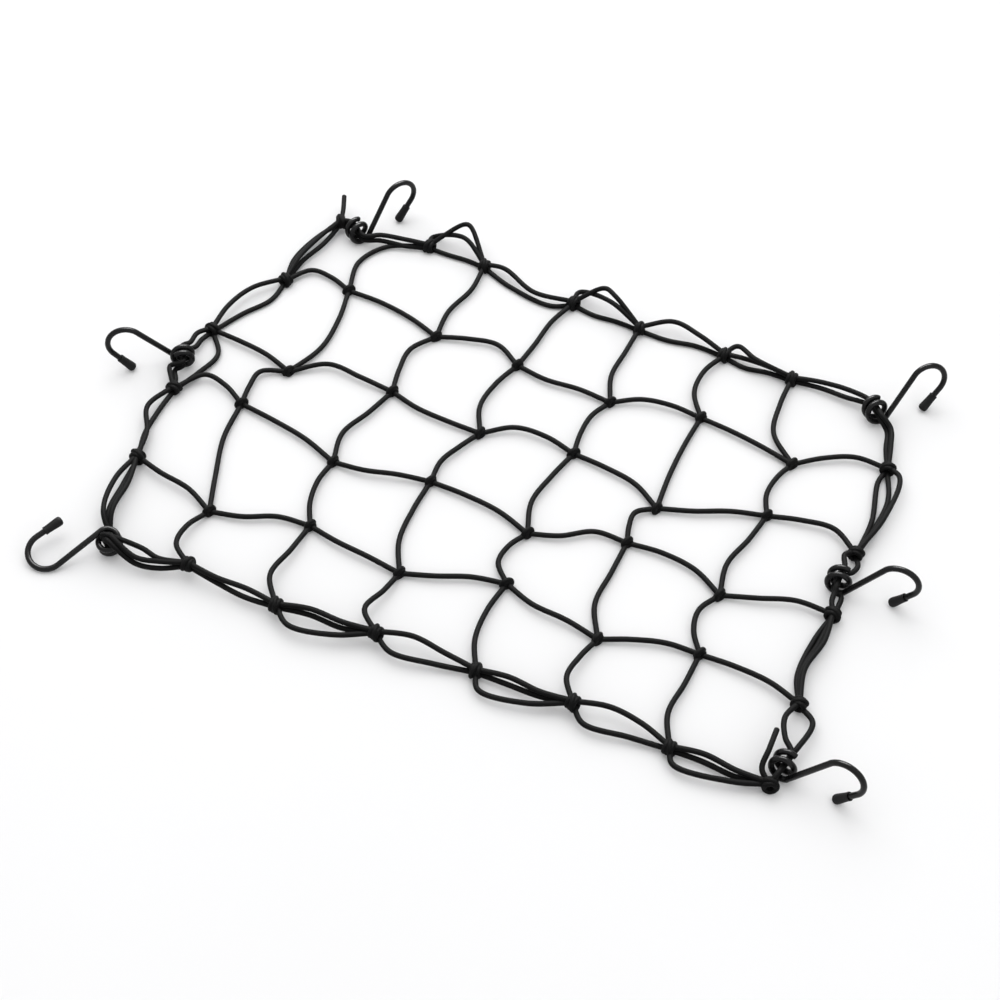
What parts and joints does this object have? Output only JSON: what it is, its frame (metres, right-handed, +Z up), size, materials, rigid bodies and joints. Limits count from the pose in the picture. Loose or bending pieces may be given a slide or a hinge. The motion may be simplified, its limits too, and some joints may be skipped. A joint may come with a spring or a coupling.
{
  "type": "elastic cargo net",
  "caption": "Loose elastic cord net with wide knotted meshes, a doubled border cord and coated wire hooks with soft tip covers, lying uneven on a flat surface.",
  "frame": {"origin": "bottom centre of the whole part's box, on the surface it lies on", "axes": "+X along the net's long side, +Y towards the far side, +Z up"},
  "size_m": [0.5671, 0.3954, 0.0371],
  "materials": {
    "cord": "braided elastic cord, black",
    "coated_wire": "steel wire with a black plastic coat",
    "soft_cover": "black soft plastic, matt"
  },
  "bodies": {
    "root": {"net": "cord", "hook_far_left": "coated_wire", "hook_mid_left": "coated_wire", "hook_near_left": "coated_wire", "hook_near_right": "coated_wire", "hook_mid_right": "coated_wire", "hook_far_right": "coated_wire", "tip_far_left": "soft_cover", "tip_mid_left": "soft_cover", "tip_near_left": "soft_cover", "tip_near_right": "soft_cover", "tip_mid_right": "soft_cover", "tip_far_right": "soft_cover"}
  },
  "joints": []
}
